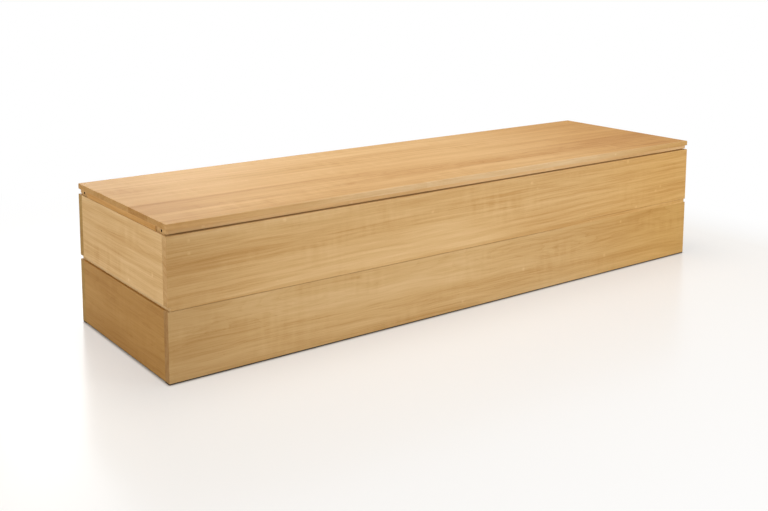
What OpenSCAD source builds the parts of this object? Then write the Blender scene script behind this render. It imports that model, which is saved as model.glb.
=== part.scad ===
// Plain rectangular coffin in solid oak: two tiers of boards and a flat lid that lifts off.
//
// The frame: the origin is the centre of the underside, +X runs along the length,
// +Y across the width and +Z up. The end at -X is called the head and the face at -Y
// the front. The two ends are alike, and so are the two long faces.

/* [Overall] */
// Length over the two end faces
coffin_length = 2080; // [1700:10:2500]
// Width over the two long faces
coffin_width = 600; // [480:5:760]

/* [Chest boards] */
// Thickness of the long side boards, whose end grain shows at the corners
side_thickness = 25; // [18:0.5:40]
// Thickness of the end boards, which stand between the side boards
end_thickness = 25; // [18:0.5:40]
// Height of the lower tier, side and end boards alike
lower_tier_height = 195; // [140:1:260]
// Height of the upper tier, whose top edges are the rim that carries the lid
upper_tier_height = 198.5; // [140:0.5:260]
// Thickness of the bottom panel, which lies between the lower boards
bottom_thickness = 18; // [12:1:30]
// Width of the chamfer along the outer bottom edges
foot_chamfer = 3; // [1:0.5:6]

/* [Shadow lines] */
// Depth of the recess across each end, at the foot of the upper tier
tier_recess_depth = 7.5; // [3:0.5:12]
// Height of that recess
tier_recess_height = 12.5; // [4:0.5:25]
// Height of the rebate along the outer bottom edge of the lid's long rails
lid_rebate_height = 3.5; // [1:0.5:8]
// Depth of that rebate
lid_rebate_depth = 10; // [4:0.5:15]
// How far the long rails stand back from the long edges of the lid panel
rail_side_setback = 6; // [2:0.5:9]
// How far the long rails' ends stand back from the ends of the panel
rail_end_setback = 5; // [2:0.5:12]
// How far the cross rails stand back from the ends of the panel
cross_rail_setback = 2; // [0:0.5:12]

/* [Lid] */
// Thickness of the lid panel
lid_panel_thickness = 16; // [12:0.5:30]
// Thickness of the rails under the panel
rail_thickness = 15.5; // [12:0.5:24]
// Width of the two long rails
long_rail_width = 60; // [40:1:110]
// Width of the two cross rails
cross_rail_width = 60; // [40:1:110]

/* [Dowel holes] */
// Diameter of the blind hole in each end of the long rails
dowel_hole_diameter = 8; // [5:0.5:9]
// Depth of the hole
dowel_hole_depth = 40; // [15:1:60]

/* [Hidden] */

// Which end or face a board belongs to: the sign of its X or Y
HEAD = -1;
FOOT = 1;
FRONT = -1;
BACK = 1;

// Cutters reach this far past the faces they open
overcut = 2;

// Levels above the underside
tier_joint_z = lower_tier_height;
rim_z = tier_joint_z + upper_tier_height;
lid_panel_z = rim_z + rail_thickness;

// Inside of the chest
inside_length = coffin_length - 2 * end_thickness;
inside_width = coffin_width - 2 * side_thickness;

// The long rails, and the space between them that the cross rails fill
long_rail_length = coffin_length - 2 * rail_end_setback;
long_rail_y = coffin_width / 2 - rail_side_setback - long_rail_width / 2;
between_long_rails = 2 * long_rail_y - long_rail_width;

// A box centred on the Z axis, from z up
module centred_box(length, width, height, z) {
    translate([-length / 2, -width / 2, z]) cube([length, width, height]);
}

// One long side board: full length, against the outer face on the given side
module side_board(side, z, height) {
    y = side * (coffin_width - side_thickness) / 2;
    translate([0, y, 0]) centred_box(coffin_length, side_thickness, height, z);
}

// One end board: between the side boards, against the outer face at the given end
module end_board(end, z, height) {
    x = end * (coffin_length - end_thickness) / 2;
    translate([x, 0, 0]) centred_box(end_thickness, inside_width, height, z);
}

// Wedge that takes the chamfer off a straight bottom edge running along Y through x = 0
module edge_wedge(run) {
    reach = foot_chamfer + overcut;
    rotate([90, 0, 0])
        translate([0, 0, -run / 2])
            linear_extrude(height = run)
                polygon([[-overcut, -overcut], [reach, -overcut], [-overcut, reach]]);
}

// The chamfer along all four outer bottom edges
module foot_chamfers() {
    for (end = [HEAD, FOOT])
        translate([end * coffin_length / 2, 0, 0])
            rotate([0, 0, end == HEAD ? 0 : 180])
                edge_wedge(coffin_width + 2 * overcut);
    for (side = [FRONT, BACK])
        translate([0, side * coffin_width / 2, 0])
            rotate([0, 0, side == FRONT ? 90 : -90])
                edge_wedge(coffin_length + 2 * overcut);
}

// The recess across one end, just above the joint between the tiers
module tier_recess(end) {
    reach = tier_recess_depth + overcut;
    x = end * (coffin_length / 2 + overcut - reach / 2);
    translate([x, 0, 0])
        centred_box(reach, coffin_width + 2 * overcut, tier_recess_height, tier_joint_z);
}

module side_lower(side) {
    difference() {
        side_board(side, 0, lower_tier_height);
        foot_chamfers();
    }
}

module side_upper(side) {
    difference() {
        side_board(side, tier_joint_z, upper_tier_height);
        tier_recess(HEAD);
        tier_recess(FOOT);
    }
}

module end_lower(end) {
    difference() {
        end_board(end, 0, lower_tier_height);
        foot_chamfers();
    }
}

module end_upper(end) {
    difference() {
        end_board(end, tier_joint_z, upper_tier_height);
        tier_recess(end);
    }
}

// One long rail of the lid: a rebate along its outer bottom edge leaves a shadow gap
// above the side board, and a blind dowel hole enters the middle of each end
module long_rail(side) {
    rebate_reach = lid_rebate_depth + overcut;
    rebate_y = side * (long_rail_y + long_rail_width / 2 + overcut - rebate_reach / 2);
    difference() {
        translate([0, side * long_rail_y, 0])
            centred_box(long_rail_length, long_rail_width, rail_thickness, rim_z);
        translate([0, rebate_y, 0])
            centred_box(long_rail_length + 2 * overcut, rebate_reach,
                        lid_rebate_height + overcut, rim_z - overcut);
        for (end = [HEAD, FOOT])
            translate([end * long_rail_length / 2, side * long_rail_y, rim_z + rail_thickness / 2])
                rotate([0, -end * 90, 0])
                    translate([0, 0, -overcut])
                        cylinder(d = dowel_hole_diameter, h = dowel_hole_depth + overcut, $fn = 48);
    }
}

// One cross rail of the lid, between the long rails
module cross_rail(end) {
    x = end * (coffin_length / 2 - cross_rail_setback - cross_rail_width / 2);
    translate([x, 0, 0])
        centred_box(cross_rail_width, between_long_rails, rail_thickness, rim_z);
}

module bottom_panel() {
    color("#c9a46c") centred_box(inside_length, inside_width, bottom_thickness, 0);
}

module side_front_lower() { color("#c79c63") side_lower(FRONT); }
module side_front_upper() { color("#cba267") side_upper(FRONT); }
module side_back_lower() { color("#c79c63") side_lower(BACK); }
module side_back_upper() { color("#cba267") side_upper(BACK); }

module end_head_lower() { color("#b18855") end_lower(HEAD); }
module end_head_upper() { color("#cba371") end_upper(HEAD); }
module end_foot_lower() { color("#b18855") end_lower(FOOT); }
module end_foot_upper() { color("#cba371") end_upper(FOOT); }

module lid_panel() {
    color("#e0b980") centred_box(coffin_length, coffin_width, lid_panel_thickness, lid_panel_z);
}

module lid_rail_front() { color("#d6b07a") long_rail(FRONT); }
module lid_rail_back() { color("#d6b07a") long_rail(BACK); }
module lid_cross_rail_head() { color("#cfa063") cross_rail(HEAD); }
module lid_cross_rail_foot() { color("#cfa063") cross_rail(FOOT); }

bottom_panel();
side_front_lower();
side_front_upper();
side_back_lower();
side_back_upper();
end_head_lower();
end_head_upper();
end_foot_lower();
end_foot_upper();
lid_panel();
lid_rail_front();
lid_rail_back();
lid_cross_rail_head();
lid_cross_rail_foot();
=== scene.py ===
# %% [markdown]
# # A plain oak coffin
#
# The coffin is a long box of solid, oiled oak. Two tiers of boards stand one on the other, and a
# flat lid of glued staves lies on top, with rails under its edges. Nothing is painted, carved or
# screwed on where it shows, so everything that the eye gets is wood: the grain, the tone of each
# board, the end grain at the corners and the thin dark lines where pieces meet.
#
# The shape was settled in the CAD model. It is loaded first, as a fixed frame in metres, and each
# finer piece below takes its place from it.

# %% Load the CAD frame
import math
from functools import partial

import bmesh
import bpy
import numpy as np
from mathutils import Matrix, Vector


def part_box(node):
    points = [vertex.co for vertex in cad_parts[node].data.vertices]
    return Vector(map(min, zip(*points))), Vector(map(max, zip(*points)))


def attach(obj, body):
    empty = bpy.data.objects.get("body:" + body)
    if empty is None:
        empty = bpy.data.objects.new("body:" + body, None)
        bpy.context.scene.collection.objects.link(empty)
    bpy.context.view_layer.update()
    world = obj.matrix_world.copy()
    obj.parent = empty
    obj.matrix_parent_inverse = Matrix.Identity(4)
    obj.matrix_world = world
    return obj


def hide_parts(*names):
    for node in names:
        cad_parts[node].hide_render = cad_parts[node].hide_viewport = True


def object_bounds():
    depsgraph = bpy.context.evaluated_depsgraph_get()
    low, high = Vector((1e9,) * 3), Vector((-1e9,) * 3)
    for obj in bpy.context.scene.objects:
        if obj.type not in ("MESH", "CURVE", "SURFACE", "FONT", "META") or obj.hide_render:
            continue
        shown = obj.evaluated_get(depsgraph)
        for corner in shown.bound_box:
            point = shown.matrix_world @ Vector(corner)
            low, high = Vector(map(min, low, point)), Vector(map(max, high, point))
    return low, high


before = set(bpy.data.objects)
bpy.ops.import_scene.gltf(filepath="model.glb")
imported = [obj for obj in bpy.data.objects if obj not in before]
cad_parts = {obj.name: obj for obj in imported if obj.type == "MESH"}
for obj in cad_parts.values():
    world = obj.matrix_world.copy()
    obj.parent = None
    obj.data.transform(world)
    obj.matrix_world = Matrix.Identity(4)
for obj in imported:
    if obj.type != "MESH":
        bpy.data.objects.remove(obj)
CAD_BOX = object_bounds()
LOW, HIGH = (np.array(corner, float) for corner in CAD_BOX)
MM = 0.001
print("CAD box, mm:", np.round(LOW / MM, 1), "to", np.round(HIGH / MM, 1))


# %% [markdown]
# ## Sections carried along a board
#
# A board is a section, such as a rectangle with a step cut in it, that runs the same from end to
# end. It could be a cube with a bevel on it, but then every edge gets the same bevel. Real edges
# differ: those that hands touch are sanded round, while those that meet another board stay crisp,
# so that the joint closes. So the section is worked out here corner by corner, and then repeated
# along the board as rings of points. The first and last rings shrink a little, which rounds the
# edges of the two ends.

# %% Round a section
STEPS = 3


def rounded(corners, ease):
    """The corners of a section, rounded. Each side stops short of its corner by that corner's ease,
    and the points in between lie on the parabola that leaves one side and lands on the other:
    (1-s)^2 times the first stop, plus 2s(1-s) times the corner, plus s^2 times the second stop."""
    to_last = np.roll(corners, 1, axis=-2) - corners
    to_next = np.roll(corners, -1, axis=-2) - corners
    to_last /= np.linalg.norm(to_last, axis=-1, keepdims=True)
    to_next /= np.linalg.norm(to_next, axis=-1, keepdims=True)
    first = (corners + to_last * ease[..., None])[..., None, :]
    second = (corners + to_next * ease[..., None])[..., None, :]
    s = np.linspace(0, 1, STEPS + 1)[:, None]
    points = (1 - s) ** 2 * first + 2 * s * (1 - s) * corners[..., None, :] + s ** 2 * second
    return points.reshape(*corners.shape[:-2], -1, 2)


print("each corner becomes", STEPS + 1, "points")


# %% Shrink a section
def shrunk(corners, distance):
    """The section with every side moved inwards by a distance. A corner slides along its mitre, which
    is the sum of its two sides' inward normals divided by one plus their dot product."""
    side = np.roll(corners, -1, axis=-2) - corners
    side /= np.linalg.norm(side, axis=-1, keepdims=True)
    normal = np.stack([-side[..., 1], side[..., 0]], axis=-1)
    last = np.roll(normal, 1, axis=-2)
    mitre = (normal + last) / (1 + np.sum(normal * last, axis=-1, keepdims=True))
    return corners + mitre * distance[:, None, None]


unit = np.array([[(0, 0), (1, 0), (1, 1), (0, 1)]], float)
print("a unit square, shrunk by 0.1:", shrunk(unit, np.array([0.1])).round(3).tolist()[0])


# %% Space the rings along a board
def ring_places(start, stop, ease, middle=()):
    """Where the rings lie along a board, and how far each is shrunk. At the ends they follow a
    quarter circle: ease times one minus its cosine inwards, and ease times one minus its sine."""
    turn = np.linspace(0, math.pi / 2, STEPS + 1)
    along = ease * (1 - np.cos(turn))
    inset = ease * (1 - np.sin(turn))
    places = np.concatenate([start + along, middle, stop - along[::-1]])
    return places, np.concatenate([inset, np.zeros(len(middle)), inset[::-1]])


print("insets that round an end by 1 mm:", ring_places(0, 1, 1 * MM)[1].round(5).tolist())


# %% Carry a section along a board
def section_rings(corners, ease, inset):
    """The section at each ring: shrunk there, and then rounded. Ease is one number for each corner,
    or one for each ring and corner."""
    rings = np.broadcast_to(np.asarray(corners, float), (len(inset), len(corners), 2))
    ease = np.broadcast_to(np.asarray(ease, float), rings.shape[:2])
    return rounded(shrunk(rings, inset), ease)


def turned(places, points, axis):
    """Points in space from their place along a board and their section. A board along X has its
    section in Y and Z, and one along Y has it in X and Z."""
    run = np.broadcast_to(places[:, None], points.shape[:2])
    if axis == "x":
        return np.stack([run, points[..., 0], points[..., 1]], axis=-1)
    return np.stack([points[..., 0], run, points[..., 1]], axis=-1)


# %% Close the rings into a solid
SAME_POINT = 0.002 * MM


def solid(name, rings):
    """A closed mesh object from rings x points x 3. Four-sided faces join each ring to the next, and
    one flat face closes each end. Points that fall together are merged, then faces turned outwards."""
    rows, columns, _ = rings.shape
    here = np.arange((rows - 1) * columns).reshape(rows - 1, columns)
    beside = np.roll(here, -1, axis=1)
    sides = np.stack([here, beside, beside + columns, here + columns], axis=-1).reshape(-1, 4)
    ends = np.stack([np.arange(columns)[::-1], np.arange(columns) + (rows - 1) * columns])
    mesh = bpy.data.meshes.new(name)
    mesh.from_pydata(rings.reshape(-1, 3).tolist(), [], sides.tolist() + ends.tolist())
    shape = bmesh.new()
    shape.from_mesh(mesh)
    bmesh.ops.remove_doubles(shape, verts=shape.verts, dist=SAME_POINT)
    bmesh.ops.dissolve_degenerate(shape, edges=shape.edges, dist=SAME_POINT)
    bmesh.ops.recalc_face_normals(shape, faces=shape.faces)
    shape.to_mesh(mesh)
    shape.free()
    piece = bpy.data.objects.new(name, mesh)
    bpy.context.collection.objects.link(piece)
    return piece


# %% Put a piece in its CAD node's place
PIECES = {}


def stands_for(piece, node):
    """The finer piece takes the place of its CAD node, rides on the one body, and is listed."""
    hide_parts(node)
    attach(piece, "root")
    PIECES[node] = piece
    print(f"{piece.name}: {len(piece.data.vertices)} points, {len(piece.data.polygons)} faces")


def corners_of(node):
    """A node's lowest and highest corners, as arrays."""
    return (np.array(corner, float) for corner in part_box(node))


# %% [markdown]
# ## The long boards of the sides
#
# Each long face is two boards, one above the other. They run the whole length, over the ends of
# the end boards. The lower one has a small chamfer at its foot, which gives the thin dark line on
# the floor. The upper one is cut back at both ends, just above the joint, as part of the recess
# that marks the joint on the ends of the coffin.
#
# Where the two boards meet, the joint shows as a hairline towards the head, and closes up towards
# the foot. There a fine split runs along the grain instead, from the recess inwards. Both could be
# painted on, but a real groove takes its darkness from the light, so both are cut into the mesh.

# %% Name the small sizes of the edges
# All are in metres. A pair says where along the coffin a change starts, and where it is complete.
# Stations are the rings along a side board, close enough for a groove to fade and waver.
OUTER_EASE = 1.2 * MM
END_EASE = 0.7 * MM
CLOSED_EASE = 0.2 * MM
OPEN_EASE = 0.5 * MM
JOINT_CLOSES = (0.16, 0.45)
JOINT_GAP = 1.2 * MM
JOINT_DEPTH = 4 * MM
CHAMFER = 3 * MM
RECESS_DEPTH = 7.5 * MM
RECESS_HEIGHT = 12.5 * MM
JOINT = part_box("end_head_upper")[0][2]
STATIONS = 53
SPLIT_OPENS = (0.44, 0.58)
SPLIT_DEPTH = 2.5 * MM
SPLIT_HALF_WIDTH = 0.5 * MM
print("the split runs for", round((HIGH[0] - SPLIT_OPENS[0]) / MM), "mm")


# %% Let an edge or a groove fade along the board
def smooth_step(value, start, stop):
    """Zero before start and one after stop, and 3t^2 - 2t^3 of the share t of the way between."""
    t = np.clip((value - start) / (stop - start), 0, 1)
    return t * t * (3 - 2 * t)


def joint_open(x):
    """How far the joint stands open: one towards the head, and zero past the fade."""
    return 1 - smooth_step(x, *JOINT_CLOSES)


print("the joint at -1, 0.3 and 1 m:", joint_open(np.array([-1, 0.3, 1])).round(2).tolist())


# %% Read a side board's section
def side_section(node, outward):
    """A side board's ends, outer and inner faces, foot and top. Outward is -1 at the front and 1 at
    the back. Sections are drawn for the front, and the back ones are mirrored afterwards."""
    low, high = corners_of(node)
    outer, inner = (low[1], high[1]) if outward < 0 else (-high[1], -low[1])
    return low[0], high[0], outer, inner, low[2], high[2]


# %% Make the lower side boards
for node, outward in (("side_front_lower", -1), ("side_back_lower", 1)):
    head, foot, outer, inner, bottom, top = side_section(node, outward)
    corners = [(outer, bottom + CHAMFER), (outer + CHAMFER, bottom)]
    corners += [(inner, bottom), (inner, top), (outer, top)]
    places, inset = ring_places(head, foot, END_EASE, np.linspace(head, foot, STATIONS)[1:-1])
    ease = np.full((len(places), len(corners)), CLOSED_EASE)
    ease[:, 4] = CLOSED_EASE + (OPEN_EASE - CLOSED_EASE) * joint_open(places)
    points = section_rings(corners, ease, inset)
    points[..., 0] *= -outward
    stands_for(solid(node + "_board", turned(places, points, "x")), node)


# %% Let the split waver
SPLIT_WAVES = ((0.35 * MM, 0.061, 0.0), (0.25 * MM, 0.023, 1.0))


def wavering(x):
    """Height of the split about its straight line: a sum of sines, each given by its size, by the
    run in which its angle grows by one, and by the angle that it starts from."""
    return sum(size * np.sin(x / run + start) for size, run, start in SPLIT_WAVES)


print("the split wavers by up to", round(sum(size for size, _, _ in SPLIT_WAVES) / MM, 2), "mm")

# %% Make the upper side boards
corner = STEPS + 1

for node, outward in (("side_front_upper", -1), ("side_back_upper", 1)):
    head, foot, outer, inner, bottom, top = side_section(node, outward)
    split = [(outer, bottom + RECESS_HEIGHT + SPLIT_HALF_WIDTH * k) for k in (2, 1, 0)]
    corners = [*split, (outer, bottom + JOINT_GAP), (outer, bottom)]
    corners += [(inner, bottom), (inner, top), (outer, top)]
    stations = np.linspace(head, foot, STATIONS)[1:-1]
    # Two rings at one place make an upright step, which is the recess's back wall.
    wall = [head + RECESS_DEPTH] * 2, [foot - RECESS_DEPTH] * 2
    places, inset = ring_places(head, foot, END_EASE, np.concatenate([wall[0], stations, wall[1]]))
    ease = np.full((len(places), len(corners)), CLOSED_EASE)
    ease[:, :4] = 0
    points = section_rings(corners, ease, inset)

    # Rounding made STEPS + 1 points of each corner, so a slice of that length picks one corner. The
    # first three corners are the split, with its depth in the middle, and the fifth is the edge at
    # the joint.
    opened = smooth_step(places, *SPLIT_OPENS) * (outward < 0)
    lips, depth, edge = slice(0, 3 * corner), slice(corner, 2 * corner), slice(4 * corner, 5 * corner)
    points[:, lips, 1] += (wavering(places) * opened)[:, None]
    points[:, depth, 0] += (SPLIT_DEPTH * opened)[:, None]
    points[:, edge, 0] += (JOINT_DEPTH * joint_open(places))[:, None]

    # The rings outside the recess's back wall stop at its ceiling.
    recessed = np.ones(len(places), bool)
    recessed[corner + 1:-corner - 1] = False
    lifted = np.maximum(points[..., 1], bottom + RECESS_HEIGHT)
    points[..., 1] = np.where(recessed[:, None], lifted, points[..., 1])
    points[..., 0] *= -outward
    stands_for(solid(node + "_board", turned(places, points, "x")), node)


# %% [markdown]
# ## The boards of the ends
#
# The end boards fit between the side boards, so their own ends are hidden and their edges there
# stay crisp. Across each end a shallow recess runs above the joint, as deep and as high as the one
# in the side boards. The upper board's section is therefore a rectangle with a notch at its outer
# foot, and the lower one's has the same chamfer as the side boards.

# %% Make the end boards
for end, outward in (("head", -1), ("foot", 1)):
    for tier in ("lower", "upper"):
        node = f"end_{end}_{tier}"
        low, high = corners_of(node)
        outer, inner = (low[0], high[0]) if outward < 0 else (-high[0], -low[0])
        bottom, top = low[2], high[2]
        if tier == "lower":
            foot_corners = [(outer, bottom + CHAMFER), (outer + CHAMFER, bottom)]
            eases = [CLOSED_EASE, CLOSED_EASE, CLOSED_EASE, CLOSED_EASE, OPEN_EASE]
        else:
            ceiling = bottom + RECESS_HEIGHT
            back = outer + RECESS_DEPTH
            foot_corners = [(outer, ceiling), (back, ceiling), (back, bottom)]
            eases = [OPEN_EASE, CLOSED_EASE, CLOSED_EASE, CLOSED_EASE, CLOSED_EASE, OPEN_EASE]
        corners = [*foot_corners, (inner, bottom), (inner, top), (outer, top)]
        places, inset = ring_places(low[1], high[1], CLOSED_EASE)
        points = section_rings(corners, eases, inset)
        points[..., 0] *= -outward
        stands_for(solid(node + "_board", turned(places, points, "y")), node)


# %% [markdown]
# ## The lid
#
# The lid is one flat panel, glued up from five staves and sanded flush, so its mesh is a single
# board with eased edges, and its staves are left to the material. Two long rails under its edges
# carry a blind hole in each end, and two cross rails join them. The long rails have a small step
# along their outer lower edge, which leaves the dark shadow line under the lid.
#
# A hole could be a ring of faces fitted to the rail's end, but a drill is simpler: a round cutter,
# taken away with a Boolean modifier that is applied at once.

# %% Make the lid panel and the cross rails
def plain_board(node, axis, ease, end_ease):
    """A rectangular board with an ease for each corner: outer foot, inner foot, inner top, outer top."""
    low, high = corners_of(node)
    across = 1 if axis == "x" else 0
    run = 1 - across
    near, far = low[across], high[across]
    corners = [(near, low[2]), (far, low[2]), (far, high[2]), (near, high[2])]
    places, inset = ring_places(low[run], high[run], end_ease)
    points = section_rings(corners, ease, inset)
    stands_for(solid(node + "_board", turned(places, points, axis)), node)


under, above = 0.8 * MM, OUTER_EASE
plain_board("lid_panel", "x", [under, under, above, above], OUTER_EASE)
for end in ("head", "foot"):
    plain_board(f"lid_cross_rail_{end}", "y", [OPEN_EASE / 2] * 4, CLOSED_EASE)
plain_board("bottom_panel", "x", [CLOSED_EASE] * 4, CLOSED_EASE)


# %% Make a drill
HOLE_RADIUS = 4 * MM
HOLE_DEPTH = 40 * MM
HOLE_MOUTH = 0.4 * MM
HOLE_SIDES = 48
OVERSHOOT = 2 * MM


def drill(name, tip, mouth, y, z):
    """A round cutter along X: its radius is the hole's, and widens by a little at the mouth. Each
    ring is the circle of that radius, as cosine across and sine up."""
    inwards = math.copysign(1, tip - mouth)
    places = np.array([tip, mouth + inwards * HOLE_MOUTH, mouth, mouth - inwards * OVERSHOOT])
    radius = HOLE_RADIUS + np.array([0, 0, HOLE_MOUTH, HOLE_MOUTH])
    turn = np.linspace(0, 2 * math.pi, HOLE_SIDES, endpoint=False)
    circle = np.stack([np.cos(turn), np.sin(turn)], axis=-1)
    return solid(name, turned(places, radius[:, None, None] * circle + (y, z), "x"))


print("holes:", round(2 * HOLE_RADIUS / MM), "mm across and", round(HOLE_DEPTH / MM), "mm deep")

# %% Make and drill the long rails
REBATE_DEPTH = 10 * MM
REBATE_HEIGHT = 3.5 * MM
RAIL_EASE = CLOSED_EASE * 2

for side, outward in (("front", -1), ("back", 1)):
    node = f"lid_rail_{side}"
    head, foot, outer, inner, bottom, top = side_section(node, outward)
    step_z = bottom + REBATE_HEIGHT
    corners = [(outer, step_z), (outer + REBATE_DEPTH, step_z), (outer + REBATE_DEPTH, bottom)]
    corners += [(inner, bottom), (inner, top), (outer, top)]
    places, inset = ring_places(head, foot, RAIL_EASE)
    points = section_rings(corners, RAIL_EASE, inset)
    points[..., 0] *= -outward
    rail = solid(node + "_board", turned(places, points, "x"))
    middle = (-outward * (outer + inner) / 2, (bottom + top) / 2)
    for end, inwards in ((head, 1), (foot, -1)):
        cutter = drill("drill", end + inwards * HOLE_DEPTH, end, *middle)
        cut = rail.modifiers.new("hole", "BOOLEAN")
        cut.operation = "DIFFERENCE"
        cut.solver = "EXACT"
        cut.object = cutter
        result = rail.evaluated_get(bpy.context.evaluated_depsgraph_get())
        drilled = bpy.data.meshes.new_from_object(result)
        rail.modifiers.clear()
        rail.data = drilled
        bpy.data.objects.remove(cutter)
    stands_for(rail, node)


# %% [markdown]
# ## Colours and nodes
#
# A material is a network of nodes, and a long list of them is hard to follow. Here one function adds
# a node, sets it and feeds it, so that each line further down is one step of the recipe. Colours are
# written as sRGB hex codes, as a paint chart gives them, and turned into the linear values in which
# light adds up.

# %% Turn a hex colour linear
def colour(code):
    """The linear colour of an sRGB hex code. Each channel c becomes c / 12.92 up to 0.04045, and
    ((c + 0.055) / 1.055)^2.4 above."""
    channels = np.array([int(code[i:i + 2], 16) for i in (1, 3, 5)]) / 255
    linear = np.where(channels <= 0.04045, channels / 12.92, ((channels + 0.055) / 1.055) ** 2.4)
    return (*linear.tolist(), 1.0)


print("mid oak, linear:", np.round(colour("#d3ae78"), 3))


# %% Add a node
def add(tree, kind, inputs=(), out=0, **settings):
    """Adds one node with its settings. Inputs pair a socket's name or number with a value, or with the
    output that feeds it. Gives back the output asked for, or the node itself if out is None."""
    node = tree.nodes.new(kind if kind.startswith("NodeGroup") else "ShaderNode" + kind)
    for name, value in settings.items():
        setattr(node, name, value)
    for name, value in dict(inputs).items():
        if isinstance(value, bpy.types.NodeSocket):
            tree.links.new(value, node.inputs[name])
        else:
            node.inputs[name].default_value = value
    return node if out is None else node.outputs[out]


# %% Start a node group
def new_tree(name, outputs, entry):
    """A node group with one vector input, entry, and a number for each output. Gives the group, a
    short form of add that works in it, and the entry's socket."""
    group = bpy.data.node_groups.new(name, "ShaderNodeTree")
    group.interface.new_socket(entry, in_out="INPUT", socket_type="NodeSocketVector")
    for output in outputs:
        group.interface.new_socket(output, in_out="OUTPUT", socket_type="NodeSocketFloat")
    put = partial(add, group)
    return group, put, put("NodeGroupInput", out=entry)


# %% [markdown]
# ## The figure of oak
#
# Oak is best made as solid wood, not as a picture wrapped on each face. A tree grows in rings about
# its pith, and a board is cut out of them. So one formula in space gives a straight grain on the
# faces, arcs on the ends, and edges where both agree. The group below takes a place in the log, with
# X along the trunk and the pith at zero, and gives the wood's tone there, from 0, dark, to 1, pale.
#
# All sizes are real ones. Single fibres and rings are too fine to show from a few steps away, so
# they are grouped into streaks and bands that are as coarse as they need to be.

# %% Noise with grains of a real size
figure, put, place = new_tree("oak_figure", ("Tone", "Pore"), "Place")


def grains(along, across, detail=2.0, of=place, out=0):
    """Noise whose grains are about this long along the trunk, and this wide across it: the place
    divided by those lengths. Its value is about 0.5, give or take 0.25."""
    spread = put("VectorMath", {0: of, 1: (1 / along, 1 / across, 1 / across)}, operation="MULTIPLY")
    return put("TexNoise", {"Vector": spread, "Scale": 1.0, "Detail": detail}, out)


def strayed(of, along, across, reach):
    """A place moved by noise: the noise's three channels less a half, times the reach, added on."""
    noise = grains(along, across, out="Color")
    noise = put("VectorMath", {0: noise, 1: (0.5, 0.5, 0.5)}, operation="SUBTRACT")
    noise = put("VectorMath", {0: noise, 1: reach}, operation="MULTIPLY")
    return put("VectorMath", {0: of, 1: noise}, operation="ADD")


print("started the group", figure.name)

# %% Growth rings
RING = 2.8 * MM
BAND = 16 * MM
EARLY_SHARE = 0.45

# A trunk is never quite round or straight: it wanders by centimetres over half a metre, and ripples
# by millimetres within a hand's width.
grown = strayed(place, 600 * MM, 120 * MM, (0, 34 * MM, 34 * MM))
grown = strayed(grown, 200 * MM, 55 * MM, (0, 9 * MM, 9 * MM))
section = put("VectorMath", {0: grown, 1: (0, 1, 1)}, operation="MULTIPLY")
from_pith = put("VectorMath", {0: section}, "Value", operation="LENGTH")

# Each year starts with open, darker early wood. Good and bad years come in bands of several.
years = put("Math", {0: from_pith, 1: RING}, operation="DIVIDE")
in_year = put("Math", {0: years}, operation="FRACT")
early = put("MapRange", {"Value": in_year, "From Max": EARLY_SHARE, "To Min": 1.0, "To Max": 0.0})
run_of_years = put("Math", {0: from_pith, 1: BAND}, operation="DIVIDE")
bands = put("TexNoise", {"W": run_of_years, "Scale": 1.0, "Detail": 4.0, "Roughness": 0.65},
            noise_dimensions="1D")
print("a board 200 mm high shows about", round(200 * MM / RING), "rings")

# %% Fibres, streaks and silk
# Each has a length along the trunk and a width across it. A real fibre is finer than a hair, so a
# bundle of them is drawn as one.
FIBRE = (140 * MM, 3.2 * MM)
STREAK = (420 * MM, 11 * MM)
PATCH = (700 * MM, 90 * MM)
fibres = grains(*FIBRE, detail=3.0)
streaks = grains(*STREAK, detail=3.0, of=grown)
patches = grains(*PATCH)

# Silk is the faint cross figure of quartered oak: short along the trunk, and wide across it. It
# comes and goes along a board.
SILK = (24 * MM, 110 * MM)
SILKY = (320 * MM, 90 * MM)
silk = grains(*SILK)
silky = put("MapRange", {"Value": grains(*SILKY), "From Min": 0.46, "From Max": 0.64})
widths = [round(size[1] / MM, 1) for size in (FIBRE, STREAK, PATCH)]
print("fibres, streaks and patches are", widths, "mm wide")

# %% Pores
# Pores are short dark lines, most of them in the early wood. A real one is about 0.3 mm wide, and is
# drawn three times as wide, so that it shows.
PORE = (11 * MM, 0.9 * MM)
PORES_FROM = (0.58, 0.70)
pore = put("MapRange", {"Value": grains(*PORE, detail=1.0), "From Min": PORES_FROM[0],
                        "From Max": PORES_FROM[1]})
open_wood = put("Math", {0: early, 1: 0.8, 2: 0.2}, operation="MULTIPLY_ADD")
pore = put("Math", {0: pore, 1: open_wood}, operation="MULTIPLY")
print("pores are", round(PORE[0] / MM), "mm long")

# %% Ray flecks
# A ray fleck is a pale, torn patch where the saw ran along a ray. Cells of about the real spacing
# are spread through the wood, and only the few whose own number is high carry a fleck.
FLECK_CELL = (26 * MM, 14 * MM, 30 * MM)
FLECK_RADIUS = (0.08, 0.26)
FLECKS_FROM = 0.95

torn = strayed(grown, 7 * MM, 4 * MM, (12 * MM, 5 * MM, 5 * MM))
cells = put("VectorMath", {0: torn, 1: tuple(1 / size for size in FLECK_CELL)}, operation="MULTIPLY")
cell = put("TexVoronoi", {"Vector": cells, "Scale": 1.0, "Randomness": 1.0}, None)
lot = put("SeparateColor", {0: cell.outputs["Color"]})
chosen = put("Math", {0: lot, 1: FLECKS_FROM}, operation="GREATER_THAN")
fleck = put("MapRange", {"Value": cell.outputs["Distance"], "From Min": FLECK_RADIUS[0],
                         "From Max": FLECK_RADIUS[1], "To Min": 1.0, "To Max": 0.0})
ray = put("Math", {0: fleck, 1: chosen}, operation="MULTIPLY")
print("one cell in", round(1 / (1 - FLECKS_FROM)), "carries a fleck")

# %% Add the marks up into a tone
# A noise swings about a half, so its amount is added less half of it. The marks only add or take.
SILK_SWING = 0.26

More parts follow.
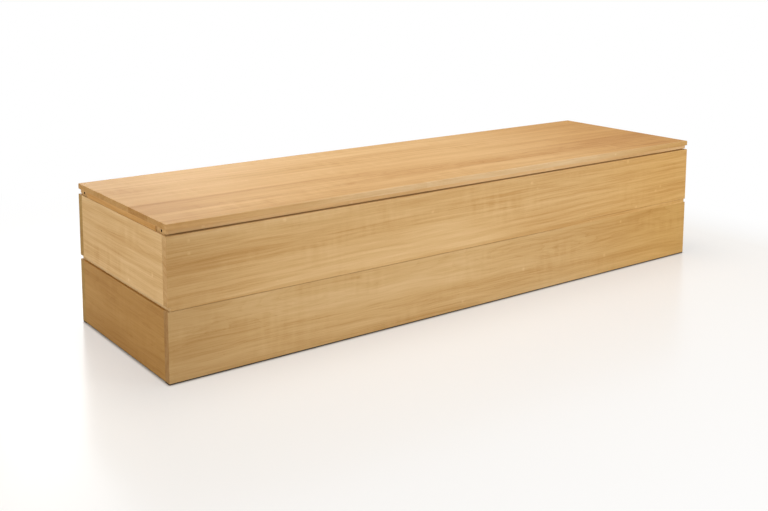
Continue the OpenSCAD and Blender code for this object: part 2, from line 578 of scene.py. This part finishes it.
tone = 0.5
for value, amount in ((bands, 0.32), (streaks, 0.30), (fibres, 0.34), (patches, 0.40)):
    swing = put("Math", {0: value, 1: amount, 2: -amount / 2}, operation="MULTIPLY_ADD")
    tone = put("Math", {0: tone, 1: swing}, operation="ADD")
swing = put("Math", {0: silk, 1: SILK_SWING, 2: -SILK_SWING / 2}, operation="MULTIPLY_ADD")
tone = put("Math", {0: swing, 1: silky, 2: tone}, operation="MULTIPLY_ADD")
for value, amount in ((early, -0.05), (pore, -0.12), (ray, 0.16)):
    tone = put("Math", {0: value, 1: amount, 2: tone}, operation="MULTIPLY_ADD")
put("NodeGroupOutput", {"Tone": tone, "Pore": pore}, None)
print("oak figure:", len(figure.nodes), "nodes")


# %% [markdown]
# ## Where the finish changes on the coffin
#
# Some tones belong to a place on the coffin, and not to a board. The oil went on a little redder
# towards the foot. The rest is painted light and shade: the wood is painted darker towards the head
# corner, a dark line painted along the lowest few millimetres stands for the contact shade, the recess
# is painted paler to lift its shade, and the walls of the holes are painted dark. The same places are
# asked for in every material, so they are worked out once, in a second group.

# %% Mark the places
REDDENS = (0.25, 1.04)
# Painted shade at the head corner fades in over this span along the coffin.
HEAD_SHADE_SPAN = (-0.75, -1.02)
# Painted contact shade covers the wood up to this height above the floor.
CONTACT_SHADE_HEIGHT = (4.6 * MM, 3.8 * MM)
WALL_MARGIN = 0.5 * MM
CEILING_MARGIN = 0.1 * MM
HOLE_AXIS = (0, 264 * MM, 401.25 * MM)

marks, put, point = new_tree("coffin_marks", ("Foot", "Head", "Wax", "Recess", "Hole"), "Point")
along_x = put("SeparateXYZ", {0: point}, "X")
height = put("SeparateXYZ", {0: point}, "Z")
near_foot = put("MapRange", {"Value": along_x, "From Min": REDDENS[0], "From Max": REDDENS[1]},
                interpolation_type="SMOOTHSTEP")
# Painted shade: the wood is darkened towards the head corner, where less light falls.
head_shaded = put("MapRange", {"Value": along_x, "From Min": HEAD_SHADE_SPAN[0], "From Max": HEAD_SHADE_SPAN[1]},
                interpolation_type="SMOOTHSTEP")
# Painted contact shade: the lowest few millimetres are darkened where the coffin meets the floor.
contact_shaded = put("MapRange", {"Value": height, "From Min": LOW[2] + CONTACT_SHADE_HEIGHT[0],
                         "From Max": LOW[2] + CONTACT_SHADE_HEIGHT[1]})

# The recess lies within its height above the joint, and not nearer to the middle than its back wall.
# The margins take that wall in, and leave the ceiling out. There the wood is painted paler, to lift
# the shade in the recess.
mirrored = put("VectorMath", {0: point}, operation="ABSOLUTE")
out_x = put("SeparateXYZ", {0: mirrored}, "X")
deep = put("Math", {0: out_x, 1: HIGH[0] - RECESS_DEPTH - WALL_MARGIN}, operation="GREATER_THAN")
low_part = put("Math", {0: height, 1: JOINT + RECESS_HEIGHT / 2,
                        2: RECESS_HEIGHT / 2 - CEILING_MARGIN}, operation="COMPARE")
recess = put("Math", {0: deep, 1: low_part}, operation="MULTIPLY")

# A hole's wall is nearer to its axis than its radius, give or take the eased mouth. There the wood is
# painted dark, as painted shade in the hole.
off_axis = put("VectorMath", {0: mirrored, 1: HOLE_AXIS}, operation="SUBTRACT")
off_axis = put("VectorMath", {0: off_axis, 1: (0, 1, 1)}, operation="MULTIPLY")
off_axis = put("VectorMath", {0: off_axis}, "Value", operation="LENGTH")
hole_shaded = put("Math", {0: off_axis, 1: HOLE_RADIUS + HOLE_MOUTH / 2}, operation="LESS_THAN")
put("NodeGroupOutput", {"Foot": near_foot, "Head": head_shaded, "Wax": contact_shaded, "Recess": recess,
                        "Hole": hole_shaded}, None)
print("coffin marks:", len(marks.nodes), "nodes")


# %% [markdown]
# ## Staves and sapwood
#
# The lid is glued up from five staves, each from another part of the log. A stave could be its own
# board, but they are sanded flush as one panel, so only the material changes at a glue line: the
# place in the log jumps, and the tone steps a little. The front stave keeps a strip of pale sapwood
# along its edge, which makes the lid's front edge lighter than its top.

# %% Step from stave to stave
STAVES = ((111, -0.07), (233, 0.05), (355, 0.02), (477, 0.10))
STAVE_JUMP = (1.7, 0.19, 0.07)


def stave_steps(put, width):
    """The number of the stave at a width across the lid, and the lift of its tone. Each glue line
    that is passed adds one to the number, and adds the step between its two staves to the tone."""
    number, lift, last = 0.0, 0.0, 0.0
    for line, stave_lift in STAVES:
        passed = put("Math", {0: width, 1: LOW[1] + line * MM}, operation="GREATER_THAN")
        number = put("Math", {0: passed, 1: number}, operation="ADD")
        lift = put("Math", {0: passed, 1: stave_lift - last, 2: lift}, operation="MULTIPLY_ADD")
        last = stave_lift
    return number, lift


edges = [0, *(line for line, _ in STAVES), round((HIGH[1] - LOW[1]) / MM)]
print("staves:", np.diff(edges).tolist(), "mm wide")

# %% Leave a strip of sapwood
SAPWOOD = (1 * MM, 14 * MM)
SAP_GROWS = (-1.0, -0.3)
SAP_LEAST = 0.25
SAP_LIFT = 0.26
SAP_TINT = "#f4f2f4"


def sapwood(put, width, run):
    """The share of sapwood: one at the lid's front edge, zero a finger's width behind it, and fading
    to a quarter towards the head."""
    behind = put("MapRange", {"Value": width, "From Min": LOW[1] + SAPWOOD[0],
                              "From Max": LOW[1] + SAPWOOD[1], "To Min": 1.0, "To Max": 0.0})
    grows = put("MapRange", {"Value": run, "From Min": SAP_GROWS[0], "From Max": SAP_GROWS[1],
                             "To Min": SAP_LEAST})
    return put("Math", {0: behind, 1: grows}, operation="MULTIPLY")


print("sapwood:", round(SAPWOOD[1] / MM), "mm wide, and", SAP_LEAST, "of its strength at the head")


# %% [markdown]
# ## Oiled oak
#
# Oiled oak is honey brown, from a dark #97703c in its deepest streaks to a pale #edd3a8 in its rays.
# Its sheen is soft and low, because the oil sits in the wood and not on it. So the IOR is an oil's,
# but the reflection is turned down to a third or so of a lacquer's, and the roughness is over a half.
# Pale, dense wood is a shade smoother than dark, open wood. The cut ends drink more oil, which makes
# end grain darker and duller. The bump is a fifth of a millimetre at most: the grain stands proud,
# and the pores are pits.

# %% Colour the wood by its tone
OAK = ((0.00, "#97703c"), (0.30, "#c1965c"), (0.50, "#d3ae78"), (0.70, "#dfbd8b"), (1.00, "#edd3a8"))


def wood_colour(put, tone):
    """The oak's colour at a tone, on straight lines between the stops listed above."""
    ramp = put("ValToRGB", {0: tone}, None)
    while len(ramp.color_ramp.elements) < len(OAK):
        ramp.color_ramp.elements.new(0.5)
    for element, (stop, code) in zip(ramp.color_ramp.elements, OAK):
        element.position, element.color = stop, colour(code)
    return ramp.outputs["Color"]


print("tones from", OAK[0][1], "to", OAK[-1][1])

# %% Tell the end grain
FACING = (0.5, 0.9)


def end_grain_share(put, normal, grain):
    """One where the surface faces along the fibres, and zero where it runs beside them. It is how
    far the normal points along the fibres, either way, between the two limits."""
    fibre = (0, 1, 0) if grain == "y" else (1, 0, 0)
    facing = put("VectorMath", {0: normal, 1: fibre}, "Value", operation="DOT_PRODUCT")
    facing = put("Math", {0: facing}, operation="ABSOLUTE")
    return put("MapRange", {"Value": facing, "From Min": FACING[0], "From Max": FACING[1]})


print("end grain starts where the surface turns", round(math.degrees(math.asin(FACING[0]))), "degrees")

# %% Tint the wood and paint its shade
WHITE = "#ffffff"
# Painted shade at the head corner.
HEAD_SHADE_COLOUR = "#f0ebe3"
# Painted contact shade along the foot.
CONTACT_SHADE_COLOUR = "#3a322b"
# A paler colour painted into the recess, against its shade.
RECESS_LIGHT_COLOUR = "#d6b685"
# Painted shade on the walls of the holes.
HOLE_SHADE_COLOUR = "#2c1c10"

# A Mix node has inputs of the same names for numbers, vectors and colours, so its two colours, the
# one below and the one above, and its mixed colour go by their numbers.
BELOW, ABOVE, MIXED = 6, 7, 2


def tinted_and_shaded(put, base, point, foot, with_head_shade):
    """The wood's colour with the marks of its place on the coffin, one after the other: a redder tint
    towards the foot, painted shade along the foot, in the holes and at the head, and a paler colour
    painted into the recess against its shade. Some tint it, as clear oil does, and some cover it."""
    at = put("Group", {"Point": point}, None, node_tree=marks).outputs
    tints_and_shades = [(at["Foot"], foot, "MULTIPLY"), (at["Wax"], CONTACT_SHADE_COLOUR, "MIX"), (at["Hole"], HOLE_SHADE_COLOUR, "MIX"),
              (at["Recess"], RECESS_LIGHT_COLOUR, "MIX")]
    # The boards along the coffin get the painted shade at the head corner.
    if with_head_shade:
        tints_and_shades.append((at["Head"], HEAD_SHADE_COLOUR, "MULTIPLY"))
    for share, code, blend in tints_and_shades:
        base = put("Mix", {"Factor": share, BELOW: base, ABOVE: colour(code)}, MIXED,
                   data_type="RGBA", blend_type=blend)
    return base


# The line printed here as dark wax is painted contact shade along the foot.
print("dark wax up to", round(CONTACT_SHADE_HEIGHT[0] / MM, 1), "mm")

# %% Give the wood its skin
OIL_IOR = 1.45
SHEEN = 0.18
ROUGHNESS = (0.62, 0.50)
END_ROUGHER = 0.15
PORE_DEPTH = -0.6
RELIEF = 0.2 * MM
RELIEF_SHARE = 0.35


def skin(put, base, wood, end_grain):
    """The oiled surface. Its roughness falls from the first to the second limit as the tone rises,
    and grows on end grain. Its height is the tone, less the pores."""
    rough = put("MapRange", {"Value": wood["Tone"], "To Min": ROUGHNESS[0], "To Max": ROUGHNESS[1]})
    rough = put("Math", {0: end_grain, 1: END_ROUGHER, 2: rough}, operation="MULTIPLY_ADD")
    relief = put("Math", {0: wood["Pore"], 1: PORE_DEPTH, 2: wood["Tone"]}, operation="MULTIPLY_ADD")
    bump = put("Bump", {"Height": relief, "Strength": RELIEF_SHARE, "Distance": RELIEF})
    return put("BsdfPrincipled", {"Base Color": base, "Roughness": rough, "Normal": bump,
                                  "IOR": OIL_IOR, "Specular IOR Level": SHEEN})


print("roughness", ROUGHNESS[1], "to", ROUGHNESS[0], "on faces, and", END_ROUGHER, "more on end grain")


# %% Put the finish together
def oak(name, pith, turn, seed, grain="x", tint=WHITE, ends=WHITE, foot=WHITE, lift=0.0, staved=False):
    """A finish of oiled oak. Pith is where the middle of the tree lies from the board's own middle
    line, in mm across and through it. Turn tilts the fibres by two angles in degrees, and the seed
    shifts the board along the log. Tints multiply the wood's colour: tint on the faces, ends on the
    end grain, and foot towards the coffin's foot. Lift makes all of it paler. Grain is the axis that
    the fibres run along, and staved is true for the lid's panel."""
    material = bpy.data.materials.new("oiled_oak_" + name)
    material.use_nodes = True
    material.node_tree.nodes.clear()
    put = partial(add, material.node_tree)
    spot = put("TexCoord", out=None).outputs

    # The place in the log: along X for every board, and then where and how the board was cut.
    quarter = math.pi / 2 if grain == "y" else 0.0
    log = put("Mapping", {"Vector": spot["Object"], "Rotation": (0, 0, quarter)})
    if staved:
        width = put("SeparateXYZ", {0: spot["Object"]}, "Y")
        number, stave_lift = stave_steps(put, width)
        jump = put("VectorMath", {0: number, 1: STAVE_JUMP}, operation="MULTIPLY")
        log = put("VectorMath", {0: log, 1: jump}, operation="ADD")
    log = put("Mapping", {"Vector": log, "Location": (seed, pith[0] * MM, pith[1] * MM),
                          "Rotation": (0, math.radians(turn[0]), math.radians(turn[1]))})
    wood = put("Group", {"Place": log}, None, node_tree=figure).outputs

    # The wood's colour, with its own tints.
    tone = put("Math", {0: wood["Tone"], 1: lift}, operation="ADD")
    end_grain = end_grain_share(put, spot["Normal"], grain)
    tints = put("Mix", {"Factor": end_grain, BELOW: colour(tint), ABOVE: colour(ends)}, MIXED,
                data_type="RGBA")
    if staved:
        sap = sapwood(put, width, put("SeparateXYZ", {0: spot["Object"]}, "X"))
        tone = put("Math", {0: tone, 1: stave_lift}, operation="ADD")
        tone = put("Math", {0: sap, 1: SAP_LIFT, 2: tone}, operation="MULTIPLY_ADD")
        tints = put("Mix", {"Factor": sap, BELOW: tints, ABOVE: colour(SAP_TINT)}, MIXED,
                    data_type="RGBA")
    base = put("Mix", {"Factor": 1.0, BELOW: wood_colour(put, tone), ABOVE: tints}, MIXED,
               data_type="RGBA", blend_type="MULTIPLY")

    base = tinted_and_shaded(put, base, spot["Object"], foot, with_head_shade=grain == "x")
    put("OutputMaterial", {0: skin(put, base, wood, end_grain)}, None)
    return material


# %% [markdown]
# ## A finish for each board
#
# Every board came from its own place in a log, so each gets its own finish: the same figure, with
# the pith at another distance, the grain turned by a degree or less, and its own tint. The lower
# boards of the ends are darker heartwood. The rails under the lid are pale like its front edge,
# and the cross rails between them are a stronger yellow.

# %% Give each board its oak
END_GRAIN = "#e0d4c0"
HEARTWOOD = "#cfbb8c"
BOARDS = {
    "side_front_upper": dict(pith=(60, 280), turn=(0.3, 0.5), ends="#f6f4f4", foot="#fff6dc"),
    "side_front_lower": dict(pith=(90, -160), turn=(-0.4, 0.3), tint="#f5f5f3", ends="#cdc2b2",
                             foot="#fcf0cc"),
    "side_back_upper": dict(pith=(-100, 220), turn=(0.3, -0.4), ends="#d6d4bc"),
    "side_back_lower": dict(pith=(-70, -190), turn=(0.5, 0.3), ends="#d6d4bc"),
    "end_head_upper": dict(pith=(120, 200), turn=(0.4, 0.2), grain="y", ends=END_GRAIN),
    "end_head_lower": dict(pith=(80, -100), turn=(-0.5, 0.2), grain="y", tint=HEARTWOOD, ends=END_GRAIN),
    "end_foot_upper": dict(pith=(-120, 200), turn=(0.4, 0.2), grain="y", ends=END_GRAIN),
    "end_foot_lower": dict(pith=(-80, -100), turn=(-0.5, 0.2), grain="y", tint=HEARTWOOD, ends=END_GRAIN),
    "lid_rail_front": dict(pith=(100, 120), turn=(0, 0), tint="#fcf8f4", ends="#f4eee4", lift=0.12),
    "lid_rail_back": dict(pith=(-100, 120), turn=(0, 0), tint="#fcf8f4", ends="#f4eee4", lift=0.12),
    "lid_cross_rail_head": dict(pith=(100, 120), turn=(0, 0), grain="y", tint="#ecd8b0"),
    "lid_cross_rail_foot": dict(pith=(100, 120), turn=(0, 0), grain="y", tint="#ecd8b0"),
    "bottom_panel": dict(pith=(100, 120), turn=(0, 0), ends=END_GRAIN),
    "lid_panel": dict(pith=(20, 160), turn=(0.2, 0.4), tint="#fff3e2", ends="#e8dcc6",
                      foot="#edddb8", staved=True),
}

# The boards lie five metres apart along the log, so that no two show the same figure.
SEEDS = dict(zip(BOARDS, 3.0 + 5.0 * np.arange(len(BOARDS)))) | {"lid_panel": 91.0}

for node, wood_of_board in BOARDS.items():
    slots = PIECES[node].data.materials
    slots.clear()
    slots.append(oak(node, seed=float(SEEDS[node]), **wood_of_board))
print(len(BOARDS), "finishes for", len(PIECES), "pieces")


# %% [markdown]
# ## The studio
#
# The coffin stands on a white floor that runs on out of sight, and before a white world. The floor
# is polished acrylic, so the boards are faintly mirrored in it. If lamps alone had to make it white,
# they would be far too strong for the wood. So part of its white is a glow that is seen, also in
# reflections, but lights nothing. It is least beside the coffin, where the shadow and the reflection
# have to show, and whole further out. Under the coffin there is none, and it starts again within a
# finger's width of it, which leaves the contact dark.

# %% Lay the floor
FLOOR_HALF = 60.0

corners = np.array([(-1, -1, 0), (1, -1, 0), (1, 1, 0), (-1, 1, 0)]) * FLOOR_HALF + (0, 0, LOW[2])
mesh = bpy.data.meshes.new("studio_floor")
mesh.from_pydata(corners.tolist(), [], [(0, 1, 2, 3)])
floor = bpy.data.objects.new("studio_floor", mesh)
bpy.context.collection.objects.link(floor)
print("floor:", 2 * FLOOR_HALF, "m across, at height", LOW[2])


# %% Tell a ray that is seen
def seen_share(put):
    """One for a ray that is seen, straight from the camera or in a mirror or through glass, and zero
    for one that only carries light. It is the largest of three numbers that are each one or zero."""
    path = put("LightPath", out=None).outputs
    seen = put("Math", {0: path["Is Camera Ray"], 1: path["Is Glossy Ray"]}, operation="MAXIMUM")
    return put("Math", {0: seen, 1: path["Is Transmission Ray"]}, operation="MAXIMUM")


# %% Spread the glow
CONTACT = 8 * MM
GLOW_REACH = 1.8
GLOW_LEAST = 0.46
PAST_FOOT = (-0.1, 0.7)


def glow_share(put, point):
    """The share of the floor's white that is glow. It depends on how far a point lies outside the
    coffin's footprint: the length of what is left of its distances from the middle, after the
    coffin's half length and half width are taken off. Past the foot it is whole at once."""
    beyond = put("VectorMath", {0: point}, operation="ABSOLUTE")
    beyond = put("VectorMath", {0: beyond, 1: tuple(HIGH)}, operation="SUBTRACT")
    beyond = put("VectorMath", {0: beyond, 1: (0, 0, 0)}, operation="MAXIMUM")
    beyond = put("VectorMath", {0: beyond}, "Value", operation="LENGTH")
    clear = put("MapRange", {"Value": beyond, "From Max": CONTACT})
    white = put("MapRange", {"Value": beyond, "From Max": GLOW_REACH, "To Min": GLOW_LEAST},
                interpolation_type="SMOOTHSTEP")
    past_foot = put("MapRange", {"Value": put("SeparateXYZ", {0: point}, "X"),
                                 "From Min": HIGH[0] + PAST_FOOT[0], "From Max": HIGH[0] + PAST_FOOT[1]},
                    interpolation_type="SMOOTHSTEP")
    white = put("Math", {0: white, 1: past_foot}, operation="MAXIMUM")
    return put("Math", {0: clear, 1: white}, operation="MULTIPLY")


print("floor glow:", GLOW_LEAST, "beside the coffin, 1.0 from", GLOW_REACH, "m")

# %% White acrylic floor
# Cast acrylic has an IOR of about 1.5. A fine polish would be a clear mirror, so this one is worn.
ACRYLIC_IOR = 1.5
ACRYLIC_ROUGHNESS = 0.22
ACRYLIC_SHEEN = 0.8

acrylic = bpy.data.materials.new("white_acrylic_floor")
acrylic.use_nodes = True
acrylic.node_tree.nodes.clear()
put = partial(add, acrylic.node_tree)
lit = put("BsdfPrincipled", {"Base Color": colour("#f6eee3"), "Roughness": ACRYLIC_ROUGHNESS,
                             "IOR": ACRYLIC_IOR, "Specular IOR Level": ACRYLIC_SHEEN})
glow = put("Emission", {"Color": colour(WHITE), "Strength": 1.0})
share = glow_share(put, put("TexCoord", out="Object"))
share = put("Math", {0: seen_share(put), 1: share}, operation="MULTIPLY")
put("OutputMaterial", {0: put("MixShader", {0: share, 1: lit, 2: glow})}, None)
floor.data.materials.append(acrylic)
print(acrylic.name + ":", len(acrylic.node_tree.nodes), "nodes")

# %% White world
WORLD_LIGHT = 0.35

world = bpy.data.worlds.new("studio_white")
world.use_nodes = True
world.node_tree.nodes.clear()
bpy.context.scene.world = world
put = partial(add, world.node_tree)
seen = put("Background", {"Color": colour(WHITE), "Strength": 1.0})
light = put("Background", {"Color": colour(WHITE), "Strength": WORLD_LIGHT})
both = put("MixShader", {0: seen_share(put), 1: light, 2: seen})
put("OutputWorld", {0: both}, None)
print("the world lights at", WORLD_LIGHT, "and is seen at 1.0")


# %% [markdown]
# ## Softboxes
#
# Square area lamps stand in for softboxes: their shadows have soft edges, as on a cloudy day. Two
# light the long front from the right and from straight ahead, one lights the head end from the left
# and low enough to reach into the recess, one hangs above, and a faint one fills the back. Each is
# asked for by the level it gives, and not by its power, so a lamp can be moved further off without
# growing dim.

# %% Hang the softboxes
def softbox(name, place, aim, size, level, spread=180.0):
    """A square lamp at a place that lights a white surface at its aim to a level, where 1 is white.
    A lamp of power P gives a surface that faces it from d metres a brightness of P / (pi d)^2. A
    narrower spread sends the same power into a narrower beam, brighter by 1 / (1 - h / tan h), with
    h half the spread in radians."""
    run = Vector(aim) - Vector(place)
    half = math.radians(spread) / 2
    lamp = bpy.data.lights.new(name, "AREA")
    lamp.shape = "SQUARE"
    lamp.size = size
    lamp.spread = 2 * half
    lamp.energy = level * (math.pi * run.length) ** 2 * (1 - half / math.tan(half))
    holder = bpy.data.objects.new(name, lamp)
    holder.matrix_world = Matrix.Translation(place) @ run.to_track_quat("-Z", "Y").to_matrix().to_4x4()
    bpy.context.collection.objects.link(holder)
    print(f"{name}: level {level}, {lamp.energy:.0f} W")


softbox("softbox_right", (2.0, -3.4, 1.7), (0.8, -0.3, 0.25), size=1.4, level=0.45, spread=110)
softbox("softbox_front", (-0.4, -4.0, 1.2), (-0.25, -0.3, 0.25), size=1.2, level=0.24, spread=50)
softbox("softbox_left", (-3.5, -0.3, 1.3), (-1.0, 0.0, 0.25), size=1.4, level=0.39)
softbox("softbox_above", (-0.1, 0.3, 3.2), (0.1, 0.1, 0.4), size=1.8, level=0.59)
softbox("softbox_back", (0.3, 3.2, 1.4), (-0.4, 0.2, 0.4), size=1.6, level=0.20)


# %% [markdown]
# ## The camera
#
# The camera stands off the corner between the head end and the long front, a little above the lid,
# and looks down slightly. Tilting it further would make the upright edges lean, so instead its lens
# is shifted, as a product photographer would have it.

# %% Place the camera
YAW, PITCH, ROLL = math.radians(36.71), math.radians(7.83), math.radians(0.20)
STAND = (-2.1378, -2.6894, 1.0963)
FOCAL_MM, SENSOR_MM = 49.21, 36.0
SHIFT = -0.202

lens = bpy.data.cameras.new("camera")
lens.lens = FOCAL_MM
lens.sensor_width = SENSOR_MM
lens.shift_y = SHIFT
camera = bpy.data.objects.new("camera", lens)
camera.matrix_world = (
    Matrix.Translation(STAND)
    @ Matrix.Rotation(-YAW, 4, "Z")
    @ Matrix.Rotation(math.pi / 2 - PITCH, 4, "X")
    @ Matrix.Rotation(ROLL, 4, "Z")
)
bpy.context.collection.objects.link(camera)
bpy.context.scene.camera = camera
bpy.context.scene.view_settings.view_transform = "Standard"
print("camera:", round(math.dist(STAND, (LOW[0], LOW[1], JOINT)), 2), "m from the near corner")
